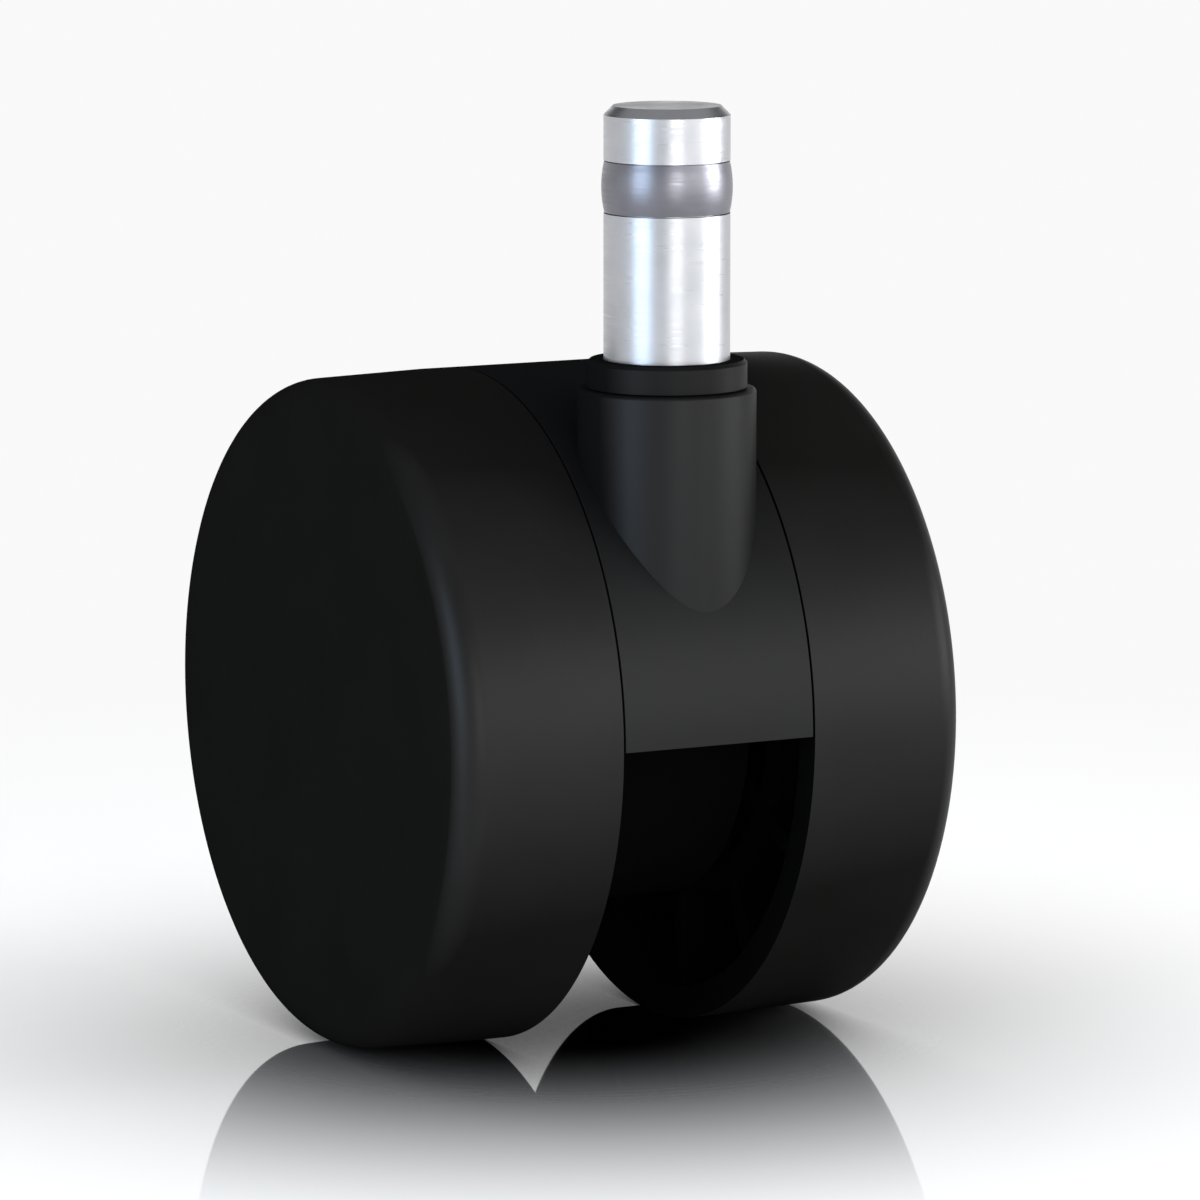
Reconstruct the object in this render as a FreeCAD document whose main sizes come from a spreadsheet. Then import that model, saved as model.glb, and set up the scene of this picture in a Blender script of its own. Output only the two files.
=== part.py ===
import FreeCAD, Part
import os
import Sketcher

# Carpet castor: a twin-wheel swivel castor that plugs into a chair leg by its stem.
#
# Frame, in millimetres: the origin lies on the swivel axis, in the plane where the
# leg end rests on the collar. +Z runs up the stem, +X runs across the wheels and
# the hood's nose points to -Y, so the wheels trail towards +Y.

doc = FreeCAD.newDocument("CarpetCastor")
sheet = doc.addObject("Spreadsheet::Sheet", "Sizes")

# Driving dimensions, in millimetres and degrees
SIZES = {
    # wheels
    "wheel_diameter": "60",
    "wheel_width": "15.5",
    "tread_land": "2.6",
    "tread_drop": "0.34",
    "wheel_edge_radius": "2.9",
    "wheel_rim_wall": "2.8",
    "wheel_face_wall": "2.6",
    "wheel_hub_wall": "3.45",
    "wheel_ring_recess": "8.2",
    "wheel_ring_wall": "2",
    "wheel_rib_thickness": "1.8",
    "wheel_rib_setback": "2.5",
    "wheel_rib_count": "12",
    # housing between the wheels
    "trail": "20",
    "seat_above_wheel": "2.5",
    "side_margin": "1.35",
    "wheel_side_gap": "0.2",
    "hood_wall": "3.2",
    "flange_thickness": "2.5",
    "drum_recess": "11.5",
    "drum_wall": "3.2",
    "web_thickness": "3",
    "axle_hub_wall": "4",
    "rib_thickness": "1.8",
    "rib_setback": "1",
    "rib_root": "0.8",
    "hood_rib_start": "30",
    "hood_rib_count": "4",
    "hood_rib_spread": "90",
    "drum_rib_start": "30",
    "drum_rib_count": "6",
    "boss_wall": "1.75",
    "boss_edge_radius": "0.4",
    "boss_floor": "3.8",
    # axle and its snap rings
    "axle_diameter": "6",
    "axle_end_gap": "0.5",
    "axle_chamfer": "0.5",
    "axle_groove_depth": "0.6",
    "axle_ring_inset": "4.75",
    "axle_ring_thickness": "1.1",
    "hub_undercut_depth": "0.85",
    # stem
    "stem_diameter": "11",
    "stem_length": "22",
    "stem_chamfer": "0.8",
    "shoulder_step": "1",
    "journal_length": "27.45",
    "tip_radius": "8",
    # grip ring near the stem's upper end
    "grip_ring_from_end": "7",
    "grip_ring_height": "4.4",
    "grip_ring_wall": "0.45",
    "grip_ring_bulge": "0.25",
    "grip_groove_depth": "0.6",
    # collar, which is also the swivel bush
    "collar_height": "2.4",
    "collar_overhang": "1",
    "collar_chamfer": "0.3",
    "sleeve_wall": "1.5",
    "sleeve_length": "8",
    # snap ring and thrust disc in the stem socket
    "stem_groove_depth": "0.9",
    "stem_ring_from_tip": "4.85",
    "stem_ring_thickness": "1",
    "socket_undercut_depth": "0.7",
    "disc_thickness": "1.2",
    # clearances
    "running_clearance": "0.05",
    "swivel_end_gap": "0.1",
    "sleeve_end_gap": "0.3",
    "thrust_gap": "0.05",
    "disc_edge_gap": "0.15",
    "ring_seat_clearance": "0.05",
    "ring_groove_clearance": "0.1",
    "ring_outer_clearance": "0.25",
    "ring_side_clearance": "0.2",
    "seat_clearance": "0.05",
    "ring_opening_angle": "40",
    "grip_opening_angle": "24",
}
for row, (alias, value) in enumerate(SIZES.items(), start=1):
    sheet.set(f"A{row}", alias)
    sheet.set(f"B{row}", value)
    sheet.setAlias(f"B{row}", alias)
doc.recompute()


def formula(text):
    """Put the sheet's name before each size that a formula uses."""
    words = text.replace("(", "( ").replace(")", " )").split()
    return " ".join("Sizes." + word if word in SIZES else word for word in words)


# Radii and places that several pieces share, as formulas of the driving dimensions
WHEEL_R = formula("(wheel_diameter / 2)")
AXLE_R = formula("(axle_diameter / 2)")
STEM_R = formula("(stem_diameter / 2)")
JOURNAL_R = STEM_R + " - " + formula("shoulder_step")
SLEEVE_R = JOURNAL_R + " + " + formula("sleeve_wall")
SOCKET_R = JOURNAL_R + " + " + formula("running_clearance")
COUNTERBORE_R = SLEEVE_R + " + " + formula("running_clearance")
BOSS_R = COUNTERBORE_R + " + " + formula("boss_wall")
HOUSING_HALF = BOSS_R + " + " + formula("side_margin")
WHEEL_INSIDE = HOUSING_HALF + " + " + formula("wheel_side_gap")
WHEEL_OUTSIDE = WHEEL_INSIDE + " + " + formula("wheel_width")
FACE_INSIDE = WHEEL_OUTSIDE + " - " + formula("wheel_face_wall")
AXLE_REACH = FACE_INSIDE + " - " + formula("axle_end_gap")
AXLE_RING_X = AXLE_REACH + " - " + formula("axle_ring_inset")
SEAT_OVER_AXLE = formula("seat_above_wheel") + " + " + WHEEL_R
STEM_RING_Z = formula("stem_ring_from_tip - journal_length")
SOCKET_FLOOR = formula("journal_length + thrust_gap + disc_thickness")

UP = FreeCAD.Vector(0, 1, 0)
DOWN = FreeCAD.Vector(0, -1, 0)
SAME = 1e-4


def size(expression):
    """The number that an expression gives, as the starting value of a sketch."""
    return float(sheet.evalExpression(expression))


def new_body(name):
    body = doc.addObject("PartDesign::Body", name)
    body.Label = name
    return body


def origin_part(body, role):
    """A body's own plane or axis, such as XY_Plane."""
    return next(part for part in body.Origin.OriginFeatures if part.Role == role)


def new_sketch(body, role, name):
    sketch = body.newObject("Sketcher::SketchObject", name)
    sketch.AttachmentSupport = [(origin_part(body, role), "")]
    sketch.MapMode = "FlatFace"
    return sketch


def hold_along(sketch, kind, axis, edge, end, place):
    """Hold the end of an edge on an axis, or at a distance from the origin."""
    if place == "0":
        sketch.addConstraint(Sketcher.Constraint("PointOnObject", edge, end, axis))
        return
    rule = Sketcher.Constraint(kind, -1, 1, edge, end, size(place))
    number = sketch.addConstraint(rule)
    sketch.setExpression(f"Constraints[{number}]", place)


def hold_level(sketch, edge, end, level):
    hold_along(sketch, "DistanceY", -1, edge, end, level)


def hold(sketch, edge, end, point):
    """Hold the end of an edge at a point, given as two expressions."""
    hold_along(sketch, "DistanceX", -2, edge, end, point[0])
    hold_level(sketch, edge, end, point[1])


def add_radius(sketch, edge, radius):
    number = sketch.addConstraint(Sketcher.Constraint("Radius", edge, size(radius)))
    sketch.setExpression(f"Constraints[{number}]", radius)


def add_outline(sketch, points):
    """A closed outline of straight edges through points given as expressions."""
    corners = [FreeCAD.Vector(size(x), size(y), 0) for x, y in points]
    first = sketch.GeometryCount
    for here, there in zip(corners, corners[1:] + corners[:1]):
        sketch.addGeometry(Part.LineSegment(here, there), False)
    join_edges(sketch, first, points)


def join_edges(sketch, first, points):
    """Join the edges from number first into a loop, with each start held at its point."""
    for step, point in enumerate(points):
        following = first + (step + 1) % len(points)
        sketch.addConstraint(Sketcher.Constraint("Coincident", first + step, 2, following, 1))
        hold(sketch, first + step, 1, point)


def add_circle(sketch, centre, radius):
    middle = FreeCAD.Vector(size(centre[0]), size(centre[1]), 0)
    edge = sketch.addGeometry(Part.Circle(middle, FreeCAD.Vector(0, 0, 1), size(radius)), False)
    hold(sketch, edge, 3, centre)
    add_radius(sketch, edge, radius)


def arc_between(centre, start, end, side):
    """An arc about a centre from start to end, by way of the point towards side."""
    return Part.Arc(start, centre + side * (start - centre).Length, end)


def feature(body, kind, name, profile, **settings):
    """Add a sketch-based feature and set its properties, texts as expressions."""
    made = body.newObject("PartDesign::" + kind, name)
    made.Profile = profile
    for key, value in settings.items():
        if isinstance(value, str) and key in ("Length", "Angle"):
            made.setExpression(key, value)
        else:
            setattr(made, key, value)
    return made


def pad_both_ways(body, name, profile, length):
    return feature(body, "Pad", name, profile, SideType="Symmetric", Length=length)


def turn(body, kind, name, profile, axis):
    """A revolution or groove all the way round an axis of its sketch."""
    return feature(body, kind, name, profile, ReferenceAxis=(profile, [axis]), Angle=360)


def repeat_round(body, name, original, axis, angle, count):
    """Repeat a feature about an axis of the body, spread over an angle."""
    pattern = body.newObject("PartDesign::PolarPattern", name)
    pattern.Originals = [original]
    pattern.Axis = (origin_part(body, axis), [""])
    pattern.setExpression("Angle", angle)
    pattern.setExpression("Occurrences", count)
    body.Tip = pattern
    return pattern


def dress(body, kind, name, base, chosen, value):
    """Round or bevel the chosen circular edges of a feature: pairs of centre and radius."""
    doc.recompute()
    edges = []
    for number, edge in enumerate(base.Shape.Edges, start=1):
        if edge.Degenerated or not isinstance(edge.Curve, Part.Circle):
            continue
        curve = edge.Curve
        for centre, radius in chosen:
            if (curve.Center - centre).Length < SAME and abs(curve.Radius - radius) < SAME:
                edges.append(f"Edge{number}")
    made = body.newObject("PartDesign::" + kind, name)
    made.Base = (base, edges)
    made.setExpression("Radius" if kind == "Fillet" else "Size", value)
    body.Tip = made
    return made


def add_rib(body, name, inner, outer, thickness, angle):
    """A sketch of one rib along a radius, turned about the axle by an angle."""
    sketch = new_sketch(body, "YZ_Plane", name)
    half = "(" + thickness + ") / 2"
    add_outline(
        sketch,
        [
            (inner, "-" + half),
            (outer, "-" + half),
            (outer, half),
            (inner, half),
        ],
    )
    sketch.setExpression("AttachmentOffset.Rotation.Angle", angle)
    return sketch


def place(item, y, z):
    item.setExpression("Placement.Base.y", y)
    item.setExpression("Placement.Base.z", z)


def half_loop(sketch, outer_r, inner_r, level, inner_side):
    """A loop of two arcs about the origin, the outer one above, cut off at a level."""
    centre = FreeCAD.Vector(0, 0, 0)
    height = size(level)
    outer_reach = (size(outer_r) ** 2 - height**2) ** 0.5
    inner_reach = (size(inner_r) ** 2 - height**2) ** 0.5
    right, left, near_left, near_right = [
        FreeCAD.Vector(reach, height, 0)
        for reach in (outer_reach, -outer_reach, -inner_reach, inner_reach)
    ]
    outer = sketch.addGeometry(arc_between(centre, right, left, UP), False)
    front = sketch.addGeometry(Part.LineSegment(left, near_left), False)
    inner = sketch.addGeometry(arc_between(centre, near_left, near_right, inner_side), False)
    rear = sketch.addGeometry(Part.LineSegment(near_right, right), False)
    # a sketch's arcs run anticlockwise, so an inner arc that goes over the top is turned round
    near, far = (1, 2) if inner_side == DOWN else (2, 1)
    for edge, end, other, start in (
        (outer, 2, front, 1),
        (front, 2, inner, near),
        (inner, far, rear, 1),
        (rear, 2, outer, 1),
    ):
        sketch.addConstraint(Sketcher.Constraint("Coincident", edge, end, other, start))
        hold_level(sketch, edge, end, level)
    for arc, radius in ((outer, outer_r), (inner, inner_r)):
        sketch.addConstraint(Sketcher.Constraint("Coincident", arc, 3, -1, 1))
        add_radius(sketch, arc, radius)


def make_housing():
    """The moulding between the wheels, built round the axle's centre."""
    body = new_body("housing")
    width = "2 * (" + HOUSING_HALF + ")"
    hub_r = AXLE_R + " + " + formula("axle_hub_wall")
    drum_r = WHEEL_R + " - " + formula("drum_recess")
    root = formula("rib_root")
    rib = formula("rib_thickness")
    rib_width = width + " - 2 * " + formula("rib_setback")

    # middle web over the whole silhouette: half the hood's disc over the drum's full disc
    sketch = new_sketch(body, "YZ_Plane", "web_profile")
    half_loop(sketch, WHEEL_R, drum_r, "0", DOWN)
    pad_both_ways(body, "web", sketch, formula("web_thickness"))

    # hood, flange and drum walls over the full width, with the hollows left out
    sketch = new_sketch(body, "YZ_Plane", "wall_profile")
    half_loop(sketch, WHEEL_R, drum_r, "0", DOWN)
    hood_inner = WHEEL_R + " - " + formula("hood_wall")
    half_loop(sketch, hood_inner, drum_r, formula("flange_thickness"), UP)
    add_circle(sketch, ("0", "0"), drum_r + " - " + formula("drum_wall"))
    pad_both_ways(body, "walls", sketch, width)

    # boss that carries the axle
    sketch = new_sketch(body, "YZ_Plane", "axle_hub_profile")
    add_circle(sketch, ("0", "0"), hub_r)
    pad_both_ways(body, "axle_hub", sketch, width)

    # ribs inside the drum
    outer = drum_r + " - " + formula("drum_wall") + " + " + root
    sketch = add_rib(body, "drum_rib_profile", hub_r + " - " + root, outer, rib,
                     formula("drum_rib_start"))
    drum_rib = pad_both_ways(body, "drum_rib", sketch, rib_width)
    repeat_round(body, "drum_ribs", drum_rib, "X_Axis", "360", formula("drum_rib_count"))

    # ribs between drum and hood
    outer = hood_inner + " + " + root
    sketch = add_rib(body, "hood_rib_profile", drum_r + " - " + root, outer, rib,
                     formula("hood_rib_start"))
    hood_rib = pad_both_ways(body, "hood_rib", sketch, rib_width)
    repeat_round(body, "hood_ribs", hood_rib, "X_Axis", formula("hood_rib_spread"),
                 formula("hood_rib_count"))

    # upright boss for the stem, at the hood's nose
    top = SEAT_OVER_AXLE + " - " + formula("collar_height - swivel_end_gap")
    floor = SEAT_OVER_AXLE + " - (" + SOCKET_FLOOR + ")"
    sketch = new_sketch(body, "XY_Plane", "boss_profile")
    sketch.setExpression("AttachmentOffset.Base.z", top)
    add_circle(sketch, ("0", "-" + formula("trail")), BOSS_R)
    length = top + " - (" + floor + ") + " + formula("boss_floor")
    # its faces stay unmerged, because on a small wheel the boss reaches past the hood
    boss = feature(body, "Pad", "boss", sketch, Length=length, Reversed=True, Refine=False)
    rim = (FreeCAD.Vector(0, -size(formula("trail")), size(top)), size(BOSS_R))
    dress(body, "Fillet", "boss_edge", boss, [rim], formula("boss_edge_radius"))

    # stepped socket for collar, stem, snap ring and thrust disc
    sketch = new_sketch(body, "YZ_Plane", "socket_profile")
    sketch.setExpression("AttachmentOffset.Base.x", "-" + formula("trail"))
    step = top + " + " + formula("swivel_end_gap - sleeve_length - sleeve_end_gap")
    ring = SEAT_OVER_AXLE + " + " + STEM_RING_Z
    half = formula("(stem_ring_thickness / 2 + ring_side_clearance )")
    under_r = SOCKET_R + " + " + formula("socket_undercut_depth")
    add_outline(
        sketch,
        [
            ("0", top),
            (COUNTERBORE_R, top),
            (COUNTERBORE_R, step),
            (SOCKET_R, step),
            (SOCKET_R, ring + " + " + half),
            (under_r, ring + " + " + half),
            (under_r, ring + " - " + half),
            (SOCKET_R, ring + " - " + half),
            (SOCKET_R, floor),
            ("0", floor),
        ],
    )
    turn(body, "Groove", "socket", sketch, "V_Axis")

    # cross bore that grips the axle
    sketch = new_sketch(body, "YZ_Plane", "axle_bore_profile")
    add_circle(sketch, ("0", "0"), AXLE_R)
    feature(body, "Pocket", "axle_bore", sketch, SideType="Symmetric", Type="ThroughAll")

    place(body, formula("trail"), "-(" + SEAT_OVER_AXLE + ")")
    return body


def make_wheel(name, turned):
    """A ribbed cup with its open side inwards, built round the axle's centre."""
    body = new_body(name)
    bore = AXLE_R + " + " + formula("running_clearance")
    hub = bore + " + " + formula("wheel_hub_wall")
    rim_inner = WHEEL_R + " - " + formula("wheel_rim_wall")
    ring_outer = rim_inner + " - " + formula("wheel_ring_recess")
    ring_inner = ring_outer + " - " + formula("wheel_ring_wall")
    rib_top = WHEEL_INSIDE + " + " + formula("wheel_rib_setback")
    low_r = WHEEL_R + " - " + formula("tread_drop")

    # section through tread, face, ring wall and hub
    sketch = new_sketch(body, "XY_Plane", "wheel_section")
    add_outline(
        sketch,
        [
            (WHEEL_INSIDE, bore),
            (WHEEL_INSIDE, hub),
            (FACE_INSIDE, hub),
            (FACE_INSIDE, ring_inner),
            (rib_top, ring_inner),
            (rib_top, ring_outer),
            (FACE_INSIDE, ring_outer),
            (FACE_INSIDE, rim_inner),
            (WHEEL_INSIDE, rim_inner),
            (WHEEL_INSIDE, WHEEL_R),
            (WHEEL_INSIDE + " + " + formula("tread_land"), WHEEL_R),
            (WHEEL_OUTSIDE, low_r),
            (WHEEL_OUTSIDE, "0"),
            (FACE_INSIDE, "0"),
            (FACE_INSIDE, bore),
        ],
    )
    disc = turn(body, "Revolution", "disc", sketch, "H_Axis")
    rim = (FreeCAD.Vector(size(WHEEL_OUTSIDE), 0, 0), size(low_r))
    dress(body, "Fillet", "tread_edge", disc, [rim], formula("wheel_edge_radius"))

    # ribs from hub to rim, set back from the open side
    root = formula("rib_root")
    sketch = add_rib(body, "wheel_rib_profile", hub + " - " + root, rim_inner + " + " + root,
                     formula("wheel_rib_thickness"), "0")
    sketch.setExpression("AttachmentOffset.Base.z", FACE_INSIDE)
    rib = feature(body, "Pad", "wheel_rib", sketch, Reversed=True,
                  Length=FACE_INSIDE + " - (" + rib_top + ")")
    repeat_round(body, "wheel_ribs", rib, "X_Axis", "360", formula("wheel_rib_count"))

    # undercut in the hub for the snap ring
    sketch = new_sketch(body, "XY_Plane", "undercut_profile")
    half = formula("(axle_ring_thickness / 2 + ring_side_clearance )")
    deep = bore + " + " + formula("hub_undercut_depth")
    add_outline(
        sketch,
        [
            (AXLE_RING_X + " - " + half, bore),
            (AXLE_RING_X + " + " + half, bore),
            (AXLE_RING_X + " + " + half, deep),
            (AXLE_RING_X + " - " + half, deep),
        ],
    )
    turn(body, "Groove", "hub_undercut", sketch, "H_Axis")

    body.Placement.Rotation = FreeCAD.Rotation(FreeCAD.Vector(0, 0, 1), turned)
    place(body, formula("trail"), "-(" + SEAT_OVER_AXLE + ")")
    return body


def make_axle():
    """A steel pin pressed through the housing, grooved near both ends."""
    body = new_body("axle")
    sketch = new_sketch(body, "YZ_Plane", "axle_profile")
    add_circle(sketch, ("0", "0"), AXLE_R)
    rod = pad_both_ways(body, "rod", sketch, "2 * (" + AXLE_REACH + ")")
    ends = [(FreeCAD.Vector(way * size(AXLE_REACH), 0, 0), size(AXLE_R)) for way in (-1, 1)]
    dress(body, "Chamfer", "rod_ends", rod, ends, formula("axle_chamfer"))

    # ring groove, repeated at the other end
    sketch = new_sketch(body, "XY_Plane", "ring_groove_profile")
    half = formula("(axle_ring_thickness / 2 + ring_groove_clearance )")
    floor = AXLE_R + " - " + formula("axle_groove_depth")
    add_outline(
        sketch,
        [
            (AXLE_RING_X + " - " + half, floor),
            (AXLE_RING_X + " + " + half, floor),
            (AXLE_RING_X + " + " + half, AXLE_R),
            (AXLE_RING_X + " - " + half, AXLE_R),
        ],
    )
    groove = turn(body, "Groove", "ring_groove", sketch, "H_Axis")
    mirror = body.newObject("PartDesign::Mirrored", "ring_grooves")
    mirror.Originals = [groove]
    mirror.MirrorPlane = (origin_part(body, "YZ_Plane"), [""])
    body.Tip = mirror

    place(body, formula("trail"), "-(" + SEAT_OVER_AXLE + ")")
    return body


def open_ring(name, inner, outer, thickness):
    """A flat open spring ring about its body's Z axis, centred on the origin."""
    body = new_body(name)
    sketch = new_sketch(body, "XZ_Plane", name + "_section")
    half = "(" + thickness + ") / 2"
    add_outline(
        sketch,
        [
            (inner, "-" + half),
            (outer, "-" + half),
            (outer, half),
            (inner, half),
        ],
    )
    feature(body, "Revolution", name + "_bend", sketch, ReferenceAxis=(sketch, ["V_Axis"]),
            Midplane=True, Angle=formula("360 - ring_opening_angle"))
    return body


def make_axle_ring(name, side):
    """The snap ring that keeps one wheel on the axle."""
    inner = AXLE_R + " - " + formula("axle_groove_depth + ring_seat_clearance")
    outer = AXLE_R + " + " + formula(
        "running_clearance + hub_undercut_depth - ring_outer_clearance")
    body = open_ring(name, inner, outer, formula("axle_ring_thickness"))
    body.Placement.Rotation = FreeCAD.Rotation(FreeCAD.Vector(0, 1, 0), 90)
    body.setExpression("Placement.Base.x", side + "(" + AXLE_RING_X + ")")
    place(body, formula("trail"), "-(" + SEAT_OVER_AXLE + ")")
    return body


def make_stem():
    """The turned steel stem: a plug for the leg above, a swivel journal below."""
    body = new_body("stem")
    top = formula("stem_length")
    tip = "-" + formula("journal_length")
    dome_r = formula("tip_radius")
    rise = dome_r + " - sqrt(" + dome_r + "^2 - (" + JOURNAL_R + ")^2)"
    points = [
        ("0", top),
        (STEM_R, top),
        (STEM_R, "0"),
        (JOURNAL_R, "-" + formula("shoulder_step")),
        (JOURNAL_R, tip + " + " + rise),
        ("0", tip),
    ]
    corners = [FreeCAD.Vector(size(x), size(y), 0) for x, y in points]
    sketch = new_sketch(body, "XZ_Plane", "stem_section")
    for here, there in zip(corners[:4], corners[1:5]):
        sketch.addGeometry(Part.LineSegment(here, there), False)
    centre = FreeCAD.Vector(0, size(tip) + size(dome_r), 0)
    outward = (corners[4] + corners[5] - centre * 2).normalize()
    dome = sketch.addGeometry(arc_between(centre, corners[4], corners[5], outward), False)
    sketch.addGeometry(Part.LineSegment(corners[5], corners[0]), False)
    for step, start in enumerate((1, 1, 1, 2)):
        hold(sketch, step, 1, points[step])
        sketch.addConstraint(Sketcher.Constraint("Coincident", step, 2, step + 1, start))
    hold(sketch, 5, 1, points[5])
    sketch.addConstraint(Sketcher.Constraint("Coincident", dome, 1, 5, 1))
    sketch.addConstraint(Sketcher.Constraint("Coincident", 5, 2, 0, 1))
    sketch.addConstraint(Sketcher.Constraint("PointOnObject", dome, 3, -2))
    add_radius(sketch, dome, dome_r)
    shaft = turn(body, "Revolution", "shaft", sketch, "V_Axis")
    end = (FreeCAD.Vector(0, 0, size(top)), size(STEM_R))
    dress(body, "Chamfer", "stem_end", shaft, [end], formula("stem_chamfer"))

    # grooves for the grip ring and the snap ring
    grip_z = formula("stem_length - grip_ring_from_end")
    grip_half = formula("(grip_ring_height / 2 + ring_groove_clearance )")
    grip_floor = STEM_R + " - " + formula("grip_groove_depth")
    cut_groove(body, "grip_groove", grip_z, grip_half, grip_floor, STEM_R)
    snap_half = formula("(stem_ring_thickness / 2 + ring_groove_clearance )")
    snap_floor = JOURNAL_R + " - " + formula("stem_groove_depth")
    cut_groove(body, "snap_groove", STEM_RING_Z, snap_half, snap_floor, JOURNAL_R)
    return body


def cut_groove(body, name, middle, half, floor, surface):
    """Turn a square groove into a shaft about the Z axis."""
    sketch = new_sketch(body, "XZ_Plane", name + "_profile")
    add_outline(
        sketch,
        [
            (floor, middle + " - " + half),
            (surface, middle + " - " + half),
            (surface, middle + " + " + half),
            (floor, middle + " + " + half),
        ],
    )
    turn(body, "Groove", name, sketch, "V_Axis")


def make_grip_ring():
    """The barrel-shaped open spring that holds the stem in the leg's socket."""
    body = new_body("grip_ring")
    inner = STEM_R + " - " + formula("grip_groove_depth + ring_groove_clearance")
    outer = inner + " + " + formula("grip_ring_wall")
    crest = size(outer) + size(formula("grip_ring_bulge"))
    half = formula("grip_ring_height / 2")
    points = [(inner, "-" + half), (outer, "-" + half), (outer, half), (inner, half)]
    corners = [FreeCAD.Vector(size(x), size(y), 0) for x, y in points]
    sketch = new_sketch(body, "XZ_Plane", "grip_section")
    sketch.addGeometry(Part.LineSegment(corners[0], corners[1]), False)
    middle = FreeCAD.Vector(crest, 0, 0)
    barrel = sketch.addGeometry(Part.Arc(corners[1], middle, corners[2]), False)
    sketch.addGeometry(Part.LineSegment(corners[2], corners[3]), False)
    sketch.addGeometry(Part.LineSegment(corners[3], corners[0]), False)
    join_edges(sketch, 0, points)
    bulge = formula("grip_ring_bulge")
    add_radius(sketch, barrel, "((" + half + ") ^ 2 + " + bulge + " ^ 2) / (2 * " + bulge + ")")
    feature(body, "Revolution", "grip_bend", sketch, ReferenceAxis=(sketch, ["V_Axis"]),
            Midplane=True, Angle=formula("360 - grip_opening_angle"))
    body.Placement.Rotation = FreeCAD.Rotation(FreeCAD.Vector(0, 0, 1), -90)
    body.setExpression("Placement.Base.z", formula("stem_length - grip_ring_from_end"))
    return body


def make_stem_ring():
    """The snap ring that keeps the stem in the housing."""
    inner = JOURNAL_R + " - " + formula("stem_groove_depth + ring_seat_clearance")
    outer = JOURNAL_R + " + " + formula(
        "running_clearance + socket_undercut_depth - ring_outer_clearance")
    body = open_ring("stem_snap_ring", inner, outer, formula("stem_ring_thickness"))
    body.setExpression("Placement.Base.z", STEM_RING_Z)
    return body


def make_collar():
    """The neck between leg and boss, with a sleeve below that the boss turns on."""
    body = new_body("stem_collar")
    sketch = new_sketch(body, "XZ_Plane", "collar_section")
    flange_r = SLEEVE_R + " + " + formula("collar_overhang")
    under = "-" + formula("collar_height")
    foot = under + " - " + formula("sleeve_length")
    mouth = STEM_R + " + " + formula("seat_clearance")
    add_outline(
        sketch,
        [
            (JOURNAL_R, foot),
            (SLEEVE_R, foot),
            (SLEEVE_R, under),
            (flange_r, under),
            (flange_r, "0"),
            (mouth, "0"),
            (JOURNAL_R, "-" + formula("(shoulder_step + seat_clearance )")),
        ],
    )
    collar = turn(body, "Revolution", "collar", sketch, "V_Axis")
    rim = (FreeCAD.Vector(0, 0, 0), size(flange_r))
    dress(body, "Chamfer", "collar_rim", collar, [rim], formula("collar_chamfer"))
    return body


def make_thrust_disc():
    """The wear disc under the stem's domed tip."""
    disc = doc.addObject("Part::Cylinder", "thrust_disc")
    disc.Label = "thrust_disc"
    disc.setExpression("Radius", SOCKET_R + " - " + formula("disc_edge_gap"))
    disc.setExpression("Height", formula("disc_thickness"))
    disc.setExpression("Placement.Base.z", "-(" + SOCKET_FLOOR + ")")
    return disc


def write_parts(pieces):
    """Write each piece to its own file once everything has built."""
    doc.recompute()
    failed = [item.Name for item in doc.Objects if {"Invalid", "Error"} & set(item.State)]
    if failed:
        raise RuntimeError("these objects did not build: " + ", ".join(failed))
    for piece in pieces:
        if piece.Shape.isNull() or not piece.Shape.isValid() or len(piece.Shape.Solids) != 1:
            raise RuntimeError(piece.Label + " is not one valid solid")
    os.makedirs("parts", exist_ok=True)
    for piece in pieces:
        piece.Shape.exportStep("parts/" + piece.Label + ".step")
        print(piece.Label, round(piece.Shape.Volume, 1), "mm3")


write_parts([
    make_housing(),
    make_wheel("left_wheel", 180),
    make_wheel("right_wheel", 0),
    make_axle(),
    make_axle_ring("left_axle_ring", "-"),
    make_axle_ring("right_axle_ring", ""),
    make_stem(),
    make_grip_ring(),
    make_collar(),
    make_stem_ring(),
    make_thrust_disc(),
])
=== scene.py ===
# %% [markdown]
# A carpet castor: two hard wheels on one axle, a moulded hood between them, and a steel stem
# that plugs into a chair leg. The solids come from the imported frame, so every piece here is
# drawn where its solid lies.

# %% Load the frame
import math

import bpy
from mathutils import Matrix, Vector


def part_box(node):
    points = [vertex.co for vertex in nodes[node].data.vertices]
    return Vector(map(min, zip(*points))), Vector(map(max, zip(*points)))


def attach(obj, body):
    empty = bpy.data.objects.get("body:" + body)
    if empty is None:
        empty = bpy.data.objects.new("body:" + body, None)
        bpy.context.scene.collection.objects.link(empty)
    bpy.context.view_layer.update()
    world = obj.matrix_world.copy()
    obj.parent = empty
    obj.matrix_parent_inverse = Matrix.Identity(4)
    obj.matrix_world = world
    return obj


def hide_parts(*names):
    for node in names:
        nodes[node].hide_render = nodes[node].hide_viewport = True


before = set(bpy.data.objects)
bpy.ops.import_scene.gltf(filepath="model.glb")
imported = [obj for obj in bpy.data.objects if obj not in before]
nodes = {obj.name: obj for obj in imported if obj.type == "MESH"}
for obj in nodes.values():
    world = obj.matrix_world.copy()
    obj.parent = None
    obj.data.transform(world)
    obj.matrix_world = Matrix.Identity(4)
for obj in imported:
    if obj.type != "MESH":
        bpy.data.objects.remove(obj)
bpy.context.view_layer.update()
scene = bpy.context.scene
scene.view_settings.view_transform = "Standard"
MM = 0.001
print("frame nodes:", sorted(nodes))

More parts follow.
